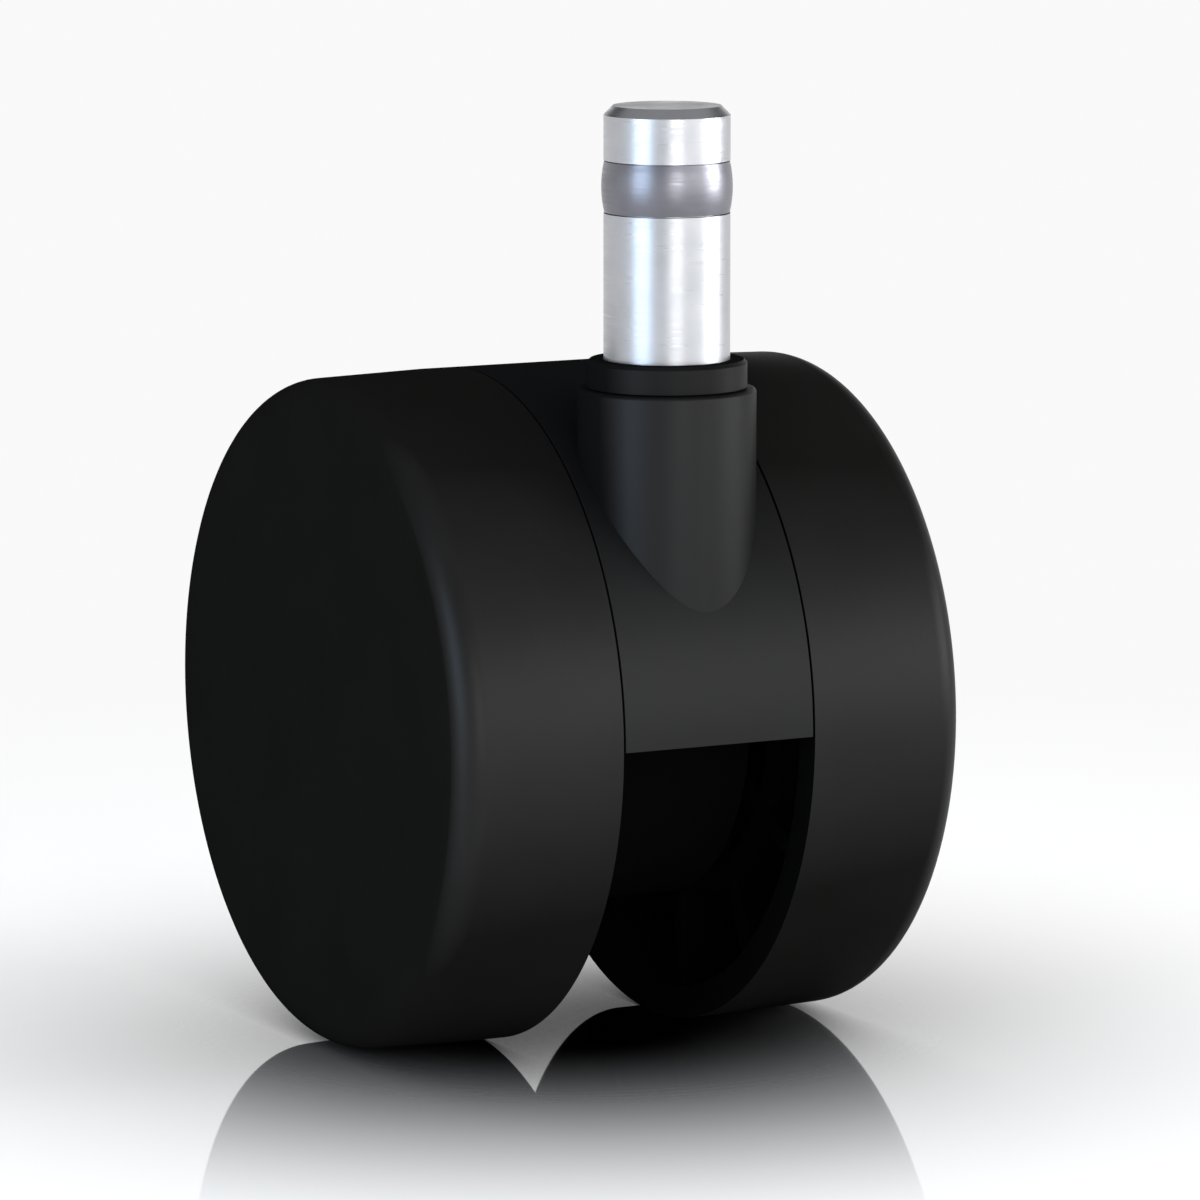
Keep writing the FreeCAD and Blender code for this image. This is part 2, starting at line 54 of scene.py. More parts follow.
# %% [markdown]
# The sizes of the visible pieces are read from the frame's boxes where a box gives
# them. The few that a box can't give, such as a wall or an edge radius, are named
# here in millimetres, once, and turned into metres.

# %% Read the sizes
wheel_low, wheel_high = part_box("right_wheel")
hood_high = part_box("housing")[1]
collar_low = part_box("stem_collar")[0]
stem_low, stem_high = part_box("stem")
axle = (wheel_low + wheel_high) / 2
axle.x = 0
WHEEL_R = (wheel_high.z - wheel_low.z) / 2
HALF_WIDTH = hood_high.x
BOSS_TOP = hood_high.z
SEGMENTS = 256
print("wheel radius", round(WHEEL_R, 5), "axle at", [round(value, 5) for value in axle])

# %% [markdown]
# Work in edit mode acts on whatever is selected, so each step starts by selecting
# nothing. Faces and edges are then chosen by where they lie, which is how one
# would click them by hand.


# %% Helpers for choosing
def select_only(piece):
    """Leave one object selected and active, in object mode."""
    if bpy.context.mode != "OBJECT":
        bpy.ops.object.mode_set(mode="OBJECT")
    bpy.ops.object.select_all(action="DESELECT")
    piece.select_set(True)
    bpy.context.view_layer.objects.active = piece


def choose_edges(piece, wanted):
    """Select the edges whose two ends both pass a test, and enter edit mode."""
    select_only(piece)
    bpy.ops.object.mode_set(mode="EDIT")
    bpy.ops.mesh.select_mode(type="EDGE")
    bpy.ops.mesh.select_all(action="DESELECT")
    bpy.ops.object.mode_set(mode="OBJECT")
    points = piece.data.vertices
    for edge in piece.data.edges:
        edge.select = all(wanted(points[end].co) for end in edge.vertices)
    bpy.ops.object.mode_set(mode="EDIT")


def settle(piece, name, angle=20):
    """Name a piece, put its place into its mesh and smooth all but its real edges."""
    select_only(piece)
    bpy.ops.object.transform_apply(location=True, rotation=True, scale=True)
    bpy.ops.object.mode_set(mode="EDIT")
    bpy.ops.mesh.select_all(action="SELECT")
    bpy.ops.mesh.remove_doubles(threshold=1e-7)
    bpy.ops.mesh.normals_make_consistent(inside=False)
    bpy.ops.object.mode_set(mode="OBJECT")
    bpy.ops.object.shade_smooth_by_angle(angle=math.radians(angle))
    piece.name = name
    piece.data.name = name
    print(name, "has", len(piece.data.polygons), "faces")
    return piece


# %% [markdown]
# Every round piece is grown the same way: a filled circle is extruded along the
# axle or the stem step by step, and the moving face is scaled to each radius. The
# steps read like the section of a turned or moulded part, so one short list of
# distances and radii describes the whole shape. A lathe-like spin of a drawn
# section would do as well, but here each number is a size one could measure.


# %% Grow a round piece
def grow(steps, centre, along):
    """Extrude a circle through (distance, radius) steps along the X or Z axis.

    The centre is where that axis crosses the other two directions.
    """
    start, first = steps[0]
    turn = (0, math.pi / 2, 0) if along == "X" else (0, 0, 0)
    way = Vector((1, 0, 0)) if along == "X" else Vector((0, 0, 1))
    base = Vector((0, *centre)) if along == "X" else Vector((*centre, 0))
    bpy.ops.object.select_all(action="DESELECT")
    bpy.ops.mesh.primitive_circle_add(vertices=SEGMENTS, radius=first, fill_type="NGON",
                                      location=base + way * start, rotation=turn)
    piece = bpy.context.object
    bpy.ops.object.transform_apply(location=True, rotation=True, scale=True)
    bpy.ops.object.mode_set(mode="EDIT")
    bpy.ops.mesh.select_mode(type="FACE")
    bpy.ops.mesh.select_all(action="SELECT")
    place, radius = start, first
    for distance, wide in steps[1:]:
        bpy.ops.mesh.extrude_region_move(
            TRANSFORM_OT_translate={"value": way * (distance - place)})
        ratio = wide / radius
        factors = (1, ratio, ratio) if along == "X" else (ratio, ratio, 1)
        bpy.ops.transform.resize(value=factors, center_override=base + way * distance)
        place, radius = distance, wide
    bpy.ops.object.mode_set(mode="OBJECT")
    return piece


def arc_steps(centre_at, centre_r, radius, begin, end, count):
    """Steps along a round edge: angles in degrees from the outward radius."""
    found = []
    for number in range(count + 1):
        angle = math.radians(begin + (end - begin) * number / count)
        found.append((centre_at + radius * math.sin(angle), centre_r + radius * math.cos(angle)))
    return found


def combine(piece, tool, operation):
    """Join a tool to a piece, or cut it away, and remove the tool."""
    select_only(piece)
    change = piece.modifiers.new(operation.lower(), "BOOLEAN")
    change.operation = operation
    change.solver = "EXACT"
    change.object = tool
    bpy.ops.object.modifier_apply(modifier=change.name)
    bpy.data.objects.remove(tool)


# %% [markdown]
# Each wheel is one hard nylon moulding: a cup with its open side inwards, a flat
# outer face with a rounded rim, and inside a hub, a ring wall and radial ribs. The
# tread is level beside the hood and then falls by a third of a millimetre, which
# lets the wheel leave its mould and shows as a soft change of tone.

# %% Model one wheel
LAND, DROP, EDGE_R = 2.6 * MM, 0.34 * MM, 2.9 * MM
RIM_WALL, FACE_WALL = 2.8 * MM, 2.6 * MM
HUB_R, WHEEL_BORE_R = 6.5 * MM, 3.05 * MM
RING_OUTER, RING_WALL = 19 * MM, 2 * MM
RIB_SETBACK, RIB_THICK, RIB_COUNT, RIB_ROOT = 2.5 * MM, 1.8 * MM, 12, 0.8 * MM
RIB_EDGE, RIB_EDGE_STEPS = 0.3 * MM, 3
EDGE_STEPS = 14
ARRIS = 0.02 * MM


def wheel_steps(inside, outside):
    """The section of a wheel, from the floor of its bore out to its flat face."""
    face = outside - FACE_WALL
    top = inside + RIB_SETBACK
    rim = WHEEL_R - RIM_WALL
    slope = math.degrees(math.atan(DROP / (outside - inside - LAND)))
    edge_at = outside - EDGE_R
    fall = DROP * (edge_at - inside - LAND) / (outside - inside - LAND)
    edge_r = WHEEL_R - fall - EDGE_R / math.cos(math.radians(slope))
    steps = [(face, WHEEL_BORE_R), (inside, WHEEL_BORE_R), (inside, HUB_R), (face, HUB_R)]
    steps += [(face, RING_OUTER - RING_WALL), (top, RING_OUTER - RING_WALL)]
    steps += [(top, RING_OUTER), (face, RING_OUTER)]
    steps += [(face, rim), (inside, rim)]
    steps += [(inside, WHEEL_R - ARRIS), (inside + ARRIS, WHEEL_R)]
    steps += [(inside + LAND, WHEEL_R)]
    steps += arc_steps(edge_at, edge_r, EDGE_R, slope, 90, EDGE_STEPS)
    return steps


def make_ribs(inside, outside):
    """The ribs of a wheel, as one piece: a block for each, set round the axle."""
    face = outside - FACE_WALL + RIB_ROOT
    top = inside + RIB_SETBACK
    low, high = HUB_R - RIB_ROOT, WHEEL_R - RIM_WALL + RIB_ROOT
    ribs = []
    for number in range(RIB_COUNT):
        bpy.ops.object.select_all(action="DESELECT")
        bpy.ops.mesh.primitive_cube_add(size=1)
        rib = bpy.context.object
        rib.scale = (face - top, RIB_THICK, high - low)
        bpy.ops.object.transform_apply(location=False, rotation=False, scale=True)
        choose_edges(rib, lambda point: point.x < 0)
        bpy.ops.mesh.bevel(offset=RIB_EDGE, segments=RIB_EDGE_STEPS)
        bpy.ops.object.mode_set(mode="OBJECT")
        angle = 2 * math.pi * number / RIB_COUNT + math.pi / 2
        middle = (low + high) / 2
        rib.location = ((face + top) / 2, axle.y + middle * math.cos(angle),
                        axle.z + middle * math.sin(angle))
        rib.rotation_euler = (angle - math.pi / 2, 0, 0)
        bpy.ops.object.transform_apply(location=True, rotation=True, scale=True)
        ribs.append(rib)
    bpy.ops.object.select_all(action="DESELECT")
    for rib in ribs:
        rib.select_set(True)
    bpy.context.view_layer.objects.active = ribs[0]
    bpy.ops.object.join()
    return bpy.context.object


right_wheel = grow(wheel_steps(wheel_low.x, wheel_high.x), (axle.y, axle.z), "X")
combine(right_wheel, make_ribs(wheel_low.x, wheel_high.x), "UNION")
settle(right_wheel, "wheel_right_disc")

# %% [markdown]
# The left wheel comes from the same mould. A copy is turned half round about an
# upright line through the axle, which is what happens when the second wheel is
# pushed on from the other side.

# %% Copy the wheel to the other side
left_wheel = right_wheel.copy()
left_wheel.data = right_wheel.data.copy()
scene.collection.objects.link(left_wheel)
left_wheel.rotation_euler = (0, 0, math.pi)
left_wheel.location = (0, 2 * axle.y, 0)
settle(left_wheel, "wheel_left_disc")

# %% [markdown]
# The housing is the skilful moulding: half a drum that lies flush with the treads,
# closed below by a flange, with a smaller full drum round the axle. Its sides are
# pocketed down to a middle web and stiffened by ribs. It is built as the mould
# would be: solid forms are joined, then the hollows are cut from both sides.

# %% Join the solid forms of the housing
HOOD_WALL, FLANGE, DRUM_RECESS, DRUM_WALL = 3.2 * MM, 2.5 * MM, 11.5 * MM, 3.2 * MM
WEB, AXLE_HUB_R, AXLE_R = 3 * MM, 7 * MM, 3 * MM
DRUM_R = WHEEL_R - DRUM_RECESS
BOSS_R, BOSS_EDGE, BOSS_EDGE_STEPS = 7.8 * MM, 0.4 * MM, 5
SOCKET_FLOOR, BOSS_FLOOR = -28.7 * MM, 3.8 * MM
HOOD_ARRIS = 0.02 * MM
OVERSHOOT = 1 * MM


def disc(radius, low, high):
    """A plain round block on the axle's line, from one side plane to another."""
    return grow([(low, radius), (high, radius)], (axle.y, axle.z), "X")


def keep_above(piece, height):
    """Saw a piece off at a level and close the cut."""
    select_only(piece)
    bpy.ops.object.mode_set(mode="EDIT")
    bpy.ops.mesh.select_all(action="SELECT")
    bpy.ops.mesh.bisect(plane_co=(0, 0, height), plane_no=(0, 0, 1),
                        use_fill=True, clear_inner=True)
    bpy.ops.object.mode_set(mode="OBJECT")


hood_steps = [(-HALF_WIDTH, WHEEL_R - HOOD_ARRIS), (HOOD_ARRIS - HALF_WIDTH, WHEEL_R)]
hood_steps += [(HALF_WIDTH - HOOD_ARRIS, WHEEL_R), (HALF_WIDTH, WHEEL_R - HOOD_ARRIS)]
housing = grow(hood_steps, (axle.y, axle.z), "X")
keep_above(housing, axle.z)
combine(housing, disc(DRUM_R, -HALF_WIDTH, HALF_WIDTH), "UNION")
print("housing forms joined:", len(housing.data.polygons), "faces")

# %% [markdown]
# Both sides are hollowed: first between hood and drum, leaving the flange as a
# floor, then inside the drum. The hub that carries the axle is put in last.

# %% Hollow both sides
for side in (-1, 1):
    low, high = sorted((side * WEB / 2, side * (HALF_WIDTH + OVERSHOOT)))
    hollow = disc(WHEEL_R - HOOD_WALL, low, high)
    keep_above(hollow, axle.z + FLANGE)
    combine(hollow, disc(DRUM_R, low - OVERSHOOT, high + OVERSHOOT), "DIFFERENCE")
    combine(housing, hollow, "DIFFERENCE")
    combine(housing, disc(DRUM_R - DRUM_WALL, low, high), "DIFFERENCE")
combine(housing, disc(AXLE_HUB_R, -HALF_WIDTH, HALF_WIDTH), "UNION")
print("housing hollowed:", len(housing.data.polygons), "faces")

# %% [markdown]
# Ribs run across the hollows along radii. They stand a little lower than the side
# faces, so that they can't rub on the wheels.

# %% Add the housing's ribs
HOUSING_RIB, HOUSING_RIB_SETBACK = 1.8 * MM, 1 * MM
DRUM_RIBS = [30 + 60 * number for number in range(6)]
HOOD_RIBS = [30 + 30 * number for number in range(4)]


def housing_rib(low, high, degrees):
    """One rib along a radius, from the low to the high distance off the axle."""
    angle = math.radians(degrees)
    middle = (low + high) / 2
    bpy.ops.object.select_all(action="DESELECT")
    bpy.ops.mesh.primitive_cube_add(size=1)
    rib = bpy.context.object
    rib.scale = (2 * (HALF_WIDTH - HOUSING_RIB_SETBACK), high - low, HOUSING_RIB)
    rib.rotation_euler = (angle, 0, 0)
    rib.location = (0, axle.y + middle * math.cos(angle), axle.z + middle * math.sin(angle))
    bpy.ops.object.transform_apply(location=True, rotation=True, scale=True)
    return rib


for degrees in DRUM_RIBS:
    reach = DRUM_R - DRUM_WALL + RIB_ROOT
    combine(housing, housing_rib(AXLE_HUB_R - RIB_ROOT, reach, degrees), "UNION")
for degrees in HOOD_RIBS:
    reach = WHEEL_R - HOOD_WALL + RIB_ROOT
    combine(housing, housing_rib(DRUM_R - RIB_ROOT, reach, degrees), "UNION")
print("housing ribbed:", len(housing.data.polygons), "faces")

# %% [markdown]
# The stem boss stands at the hood's nose. Its top edge is slightly rounded, and
# its socket is stepped: wide for the collar's sleeve, narrow for the journal, with
# a groove for the snap ring. The cross bore for the axle comes last.

# %% Add the boss and cut the bores
SLEEVE_BORE_R, SLEEVE_FLOOR, JOURNAL_BORE_R = 6.05 * MM, -10.7 * MM, 4.55 * MM
RING_LOW, RING_HIGH, RING_GROOVE_R = -23.3 * MM, -21.9 * MM, 5.25 * MM

boss_steps = [(SOCKET_FLOOR - BOSS_FLOOR, BOSS_R)]
boss_steps += arc_steps(BOSS_TOP - BOSS_EDGE, BOSS_R - BOSS_EDGE, BOSS_EDGE, 0, 90,
                        BOSS_EDGE_STEPS)
combine(housing, grow(boss_steps, (0, 0), "Z"), "UNION")
socket_steps = [(SOCKET_FLOOR, JOURNAL_BORE_R), (RING_LOW, JOURNAL_BORE_R)]
socket_steps += [(RING_LOW, RING_GROOVE_R), (RING_HIGH, RING_GROOVE_R)]
socket_steps += [(RING_HIGH, JOURNAL_BORE_R), (SLEEVE_FLOOR, JOURNAL_BORE_R)]
socket_steps += [(SLEEVE_FLOOR, SLEEVE_BORE_R), (BOSS_TOP + OVERSHOOT, SLEEVE_BORE_R)]
combine(housing, grow(socket_steps, (0, 0), "Z"), "DIFFERENCE")
cross_bore = disc(AXLE_R, -HALF_WIDTH - OVERSHOOT, HALF_WIDTH + OVERSHOOT)
combine(housing, cross_bore, "DIFFERENCE")
settle(housing, "hood_moulding", angle=15)

# %% [markdown]
# The collar is the short neck that shows between boss and leg. Below its flange a
# sleeve reaches into the boss and carries the side load of the swivel. It is a
# tube, so its section is grown from the sleeve's foot and the bore is cut out.

# %% Model the collar
COLLAR_R, COLLAR_CHAMFER, FLANGE_LOW = 7 * MM, 0.3 * MM, -2.4 * MM
SLEEVE_R, JOURNAL_R, MOUTH_R = 6 * MM, 4.5 * MM, 5.55 * MM

collar_steps = [(collar_low.z, SLEEVE_R), (FLANGE_LOW, SLEEVE_R), (FLANGE_LOW, COLLAR_R)]
collar_steps += [(-COLLAR_CHAMFER, COLLAR_R), (0, COLLAR_R - COLLAR_CHAMFER)]
collar = grow(collar_steps, (0, 0), "Z")
mouth = MOUTH_R - JOURNAL_R
bore_steps = [(collar_low.z - OVERSHOOT, JOURNAL_R), (-mouth, JOURNAL_R), (0, MOUTH_R)]
bore_steps += [(OVERSHOOT, MOUTH_R)]
combine(collar, grow(bore_steps, (0, 0), "Z"), "DIFFERENCE")
settle(collar, "neck_collar")

# %% [markdown]
# The stem is turned from bar: an 11 mm plug above the seat, a coned shoulder, and
# a 9 mm journal below with a domed tip. Its two grooves take the grip ring and the
# snap ring.

# %% Model the stem
STEM_R, STEM_CHAMFER, SHOULDER = 5.5 * MM, 0.8 * MM, 1 * MM
TIP_R = 8 * MM
SNAP_GROOVE = (-23.2 * MM, -22 * MM, 3.6 * MM)
GRIP_GROOVE = (12.7 * MM, 17.3 * MM, 4.9 * MM)
DOME_STEPS = 8


def groove_steps(groove, surface):
    """Four steps down into a square groove and up again."""
    low, high, floor = groove
    return [(low, surface), (low, floor), (high, floor), (high, surface)]


rim_angle = math.asin(JOURNAL_R / TIP_R)
stem_steps = []
for number in range(1, DOME_STEPS + 1):
    angle = rim_angle * number / DOME_STEPS
    stem_steps.append((stem_low.z + TIP_R * (1 - math.cos(angle)), TIP_R * math.sin(angle)))
stem_steps += groove_steps(SNAP_GROOVE, JOURNAL_R)
stem_steps += [(-SHOULDER, JOURNAL_R), (0, STEM_R)]
stem_steps += groove_steps(GRIP_GROOVE, STEM_R)
stem_steps += [(stem_high.z - STEM_CHAMFER, STEM_R), (stem_high.z, STEM_R - STEM_CHAMFER)]
stem = grow(stem_steps, (0, 0), "Z")
settle(stem, "turned_stem")

# %% [markdown]
# Every material below is drawn with the same few moves: naming a group's sockets,
# setting values on a node, placing a node that works on one or two numbers and
# mapping one range of numbers onto another. Each move is a short function here.


# %% Helpers for shader nodes
def socket(tree, name, kind, way, default=None):
    """Give a node group one named input or output."""
    made = tree.interface.new_socket(name=name, in_out=way, socket_type="NodeSocket" + kind)
    if default is not None:
        made.default_value = default


def set_values(node, values):
    """Set some of a node's inputs by name."""
    for name, value in values.items():
        node.inputs[name].default_value = value


def feed(tree, node, inputs):
    """Link a source to each input that is given one, and set the others."""
    for number, value in enumerate(inputs):
        if isinstance(value, bpy.types.NodeSocket):
            tree.links.new(value, node.inputs[number])
        else:
            node.inputs[number].default_value = value


def work_out(tree, operation, *inputs):
    """A Math node on links or plain numbers, and its result."""
    node = tree.nodes.new("ShaderNodeMath")
    node.operation = operation
    feed(tree, node, inputs)
    return node.outputs["Value"]


def work_out_vector(tree, operation, *inputs):
    """A Vector Math node on links or plain vectors."""
    node = tree.nodes.new("ShaderNodeVectorMath")
    node.operation = operation
    feed(tree, node, inputs)
    return node


def map_range(tree, value, start, end, low, high, smooth=False):
    """Map the range from start to end onto low to high, which may be links."""
    node = tree.nodes.new("ShaderNodeMapRange")
    if smooth:
        node.interpolation_type = "SMOOTHSTEP"
    feed(tree, node, (value, start, end, low, high))
    return node.outputs["Result"]


def mix_colours(tree, factor, first, second):
    """Blend two colours, each a link or a plain colour."""
    node = tree.nodes.new("ShaderNodeMix")
    node.data_type = "RGBA"
    for name, value in (("Factor", factor), ("A", first), ("B", second)):
        if isinstance(value, bpy.types.NodeSocket):
            tree.links.new(value, node.inputs[name])
        else:
            node.inputs[name].default_value = value
    return node.outputs["Result"]


def noise(tree, place, scale, detail):
    """A Noise texture at a place; the scale may be a link."""
    node = tree.nodes.new("ShaderNodeTexNoise")
    node.inputs["Detail"].default_value = detail
    tree.links.new(place, node.inputs["Vector"])
    if isinstance(scale, bpy.types.NodeSocket):
        tree.links.new(scale, node.inputs["Scale"])
    else:
        node.inputs["Scale"].default_value = scale
    return node.outputs["Fac"]


# %% [markdown]
# Moulded nylon has a very fine skin: small unevenness that breaks up the gloss,
# and slow flow marks. All the plastics use the same effect, so it is a node group
# that puts out a colour, a roughness and a normal for each material's own shader.

# %% Group for a moulded skin
FLOW_SCALE, FLOW_DETAIL, GRAIN_DETAIL = 120, 4, 3
NOISE_LOW, NOISE_HIGH = 0.3, 0.7


def moulded_skin_group():
    """A colour, a roughness and a normal for a finely textured moulding."""
    tree = bpy.data.node_groups.new("moulded_skin", "ShaderNodeTree")
    socket(tree, "Dark", "Color", "INPUT", (0.02, 0.02, 0.02, 1))
    socket(tree, "Light", "Color", "INPUT", (0.03, 0.03, 0.03, 1))
    socket(tree, "Smooth", "Float", "INPUT", 0.3)
    socket(tree, "Rough", "Float", "INPUT", 0.4)
    socket(tree, "Grain Size", "Float", "INPUT", 9000)
    socket(tree, "Grain Height", "Float", "INPUT", 0.000004)
    socket(tree, "Color", "Color", "OUTPUT")
    socket(tree, "Roughness", "Float", "OUTPUT")
    socket(tree, "Normal", "Vector", "OUTPUT")
    given, result = tree.nodes.new("NodeGroupInput"), tree.nodes.new("NodeGroupOutput")
    place = tree.nodes.new("ShaderNodeTexCoord").outputs["Object"]
    flow = noise(tree, place, FLOW_SCALE, FLOW_DETAIL)
    grain = noise(tree, place, given.outputs["Grain Size"], GRAIN_DETAIL)
    tone = mix_colours(tree, flow, given.outputs["Dark"], given.outputs["Light"])
    tree.links.new(tone, result.inputs["Color"])
    half_flow = work_out(tree, "MULTIPLY", flow, 0.5)
    unevenness = work_out(tree, "MULTIPLY_ADD", grain, 0.5, half_flow)
    gloss = map_range(tree, unevenness, NOISE_LOW, NOISE_HIGH,
                      given.outputs["Smooth"], given.outputs["Rough"])
    tree.links.new(gloss, result.inputs["Roughness"])
    bump = tree.nodes.new("ShaderNodeBump")
    bump.inputs["Strength"].default_value = 1
    tree.links.new(given.outputs["Grain Height"], bump.inputs["Distance"])
    tree.links.new(grain, bump.inputs["Height"])
    tree.links.new(bump.outputs["Normal"], result.inputs["Normal"])
    return tree


moulded_skin = moulded_skin_group()
print("group ready:", moulded_skin.name)

# %% [markdown]
# Only the outside of the castor is polished in the mould. Inside the rims and under the hood the
# plastic is left without polish and has no shine, and its colour is painted near black there as
# painted shade for these recesses. The mask reads the distance from the axle and the distance
# from the middle plane. A wheel's inner edge takes the same painted shade and loses its shine,
# up to its rim plane. The group serves the colours. The export reads no group on the gloss, so
# each material lays the same nodes for it.

# %% Group for the painted shade inside
INSIDE_R, INSIDE_HALF = 27.1 * MM, 22.6 * MM
MASK_EDGE = 0.2 * MM


def inside_mask(tree, rim_plane):
    """Nodes for a mask that is 1 inside the castor and 0 on its outside."""
    centred = tree.nodes.new("ShaderNodeMapping")
    centred.inputs["Location"].default_value = -axle
    place = tree.nodes.new("ShaderNodeTexCoord").outputs["Object"]
    tree.links.new(place, centred.inputs["Vector"])
    across = work_out_vector(tree, "MULTIPLY", centred.outputs["Vector"], (0, 1, 1))
    radius = work_out_vector(tree, "LENGTH", across.outputs["Vector"]).outputs["Value"]
    sides = tree.nodes.new("ShaderNodeSeparateXYZ")
    tree.links.new(centred.outputs["Vector"], sides.inputs["Vector"])
    width = work_out(tree, "ABSOLUTE", sides.outputs["X"])
    near_axle = map_range(tree, radius, INSIDE_R, INSIDE_R + MASK_EDGE, 1, 0)
    near_middle = map_range(tree, width, INSIDE_HALF, INSIDE_HALF + MASK_EDGE, 1, 0)
    both = work_out(tree, "MULTIPLY", near_axle, near_middle)
    edge = work_out(tree, "LESS_THAN", width, rim_plane)
    return work_out(tree, "MAXIMUM", both, edge)


def painted_inside_shade_group():
    """The mask as a group, which the plastics' colours share for the painted shade inside."""
    tree = bpy.data.node_groups.new("painted_inside_shade", "ShaderNodeTree")
    socket(tree, "Rim Plane", "Float", "INPUT", 0)
    socket(tree, "Inside", "Float", "OUTPUT")
    given, result = tree.nodes.new("NodeGroupInput"), tree.nodes.new("NodeGroupOutput")
    mask = inside_mask(tree, given.outputs["Rim Plane"])
    tree.links.new(mask, result.inputs["Inside"])
    return tree


painted_inside_shade = painted_inside_shade_group()
print("group ready:", painted_inside_shade.name)

# %% [markdown]
# The wheels are black hard nylon with a satin skin. The hood is the same family of plastic from
# another mould, a shade deeper and duller. The collar is black nylon, set a little darker and
# less glossy as painted shade for the leg above it. Each sets its own colours and roughness on
# the shared skin. A fine mould texture looks flat where it is seen at a shallow angle, so the
# gloss falls there; the sides towards +X keep a little of it for the edge light.

# %% Plastic materials
GRAIN_HEIGHT = 0.002 * MM
FADE_START, FADE_END = 0.1, 0.34
EDGE_SHINE, EDGE_START, EDGE_END = 0.1, 0.02, 0.35
# Near black for the insides and the wheels' inner edges: a painted shade, not the nylon's own
# colour.
PAINTED_SHADE_BLACK = (0.0026, 0.0026, 0.0027)
RIM_EDGE = 0.01 * MM


def moulded(name, dark, light, smooth, rough, grain_size, shine, inside_shade_colour=None, rim_plane=0):
    """A moulded plastic: the shared skin on a dielectric shader.

    The shine falls as the surface turns away, to nothing or, on the sides that face +X, to the
    edge shine. With an inside shade colour given, the inside takes that colour as painted shade,
    and no shine.
    """
    material = bpy.data.materials.new(name)
    material.use_nodes = True
    tree = material.node_tree
    shader = tree.nodes["Principled BSDF"]
    turned_away = tree.nodes.new("ShaderNodeLayerWeight")
    turned_away.inputs["Blend"].default_value = 0.5
    towards = tree.nodes.new("ShaderNodeSeparateXYZ")
    normal = tree.nodes.new("ShaderNodeTexCoord").outputs["Normal"]
    tree.links.new(normal, towards.inputs["Vector"])
    edge_shine = map_range(tree, towards.outputs["X"], EDGE_START, EDGE_END, 0, EDGE_SHINE)
    gloss = map_range(tree, turned_away.outputs["Facing"], FADE_START, FADE_END,
                      shine, edge_shine)
    skin = tree.nodes.new("ShaderNodeGroup")
    skin.node_tree = moulded_skin
    set_values(skin, {"Dark": (*dark, 1), "Light": (*light, 1), "Smooth": smooth,
                      "Rough": rough, "Grain Size": grain_size,
                      "Grain Height": GRAIN_HEIGHT})
    colour = skin.outputs["Color"]
    if inside_shade_colour:
        inside = tree.nodes.new("ShaderNodeGroup")
        inside.node_tree = painted_inside_shade
        inside.inputs["Rim Plane"].default_value = rim_plane
        # The inside takes the near-black painted shade.
        colour = mix_colours(tree, inside.outputs["Inside"], colour, (*inside_shade_colour, 1))
        gloss = map_range(tree, inside_mask(tree, rim_plane), 0, 1, gloss, 0)
    shader.inputs["Specular IOR Level"].default_value = shine
    tree.links.new(gloss, shader.inputs["Specular IOR Level"])
    tree.links.new(colour, shader.inputs["Base Color"])
    tree.links.new(skin.outputs["Roughness"], shader.inputs["Roughness"])
    tree.links.new(skin.outputs["Normal"], shader.inputs["Normal"])
    return material


wheel_nylon = moulded("satin_wheel_nylon", (0.0054, 0.0052, 0.005), (0.0075, 0.0073, 0.007),
                      0.38, 0.48, 9000, 0.2, PAINTED_SHADE_BLACK, wheel_low.x + RIM_EDGE)
hood_nylon = moulded("satin_hood_nylon", (0.0044, 0.0045, 0.0048), (0.006, 0.0062, 0.0066),
                     0.42, 0.5, 11000, 0.2, PAINTED_SHADE_BLACK)
# The collar's colour is a little darker and its shine lower: painted shade for the leg above it.
collar_nylon = moulded("collar_nylon", (0.0048, 0.0048, 0.005), (0.0066, 0.0066, 0.0069),
                       0.44, 0.54, 11000, 0.12)
acetal = moulded("natural_acetal", (0.72, 0.71, 0.66), (0.78, 0.77, 0.72),
                 0.35, 0.5, 9000, 0.5)
print("plastics ready")

# %% [markdown]
# Turned steel carries fine rings from the lathe. Noise that is squeezed along the
# turning axis drives a faint bump and the roughness, so highlights stretch round
# the stem as they do on real bar. The group takes the stretch, which says along
# which axis the piece was turned.

# %% Group for turned steel
RING_DETAIL, RING_STRENGTH, RING_HEIGHT = 2, 0.6, 0.003 * MM
CLOUD_SCALE, CLOUD_DETAIL = 350, 3


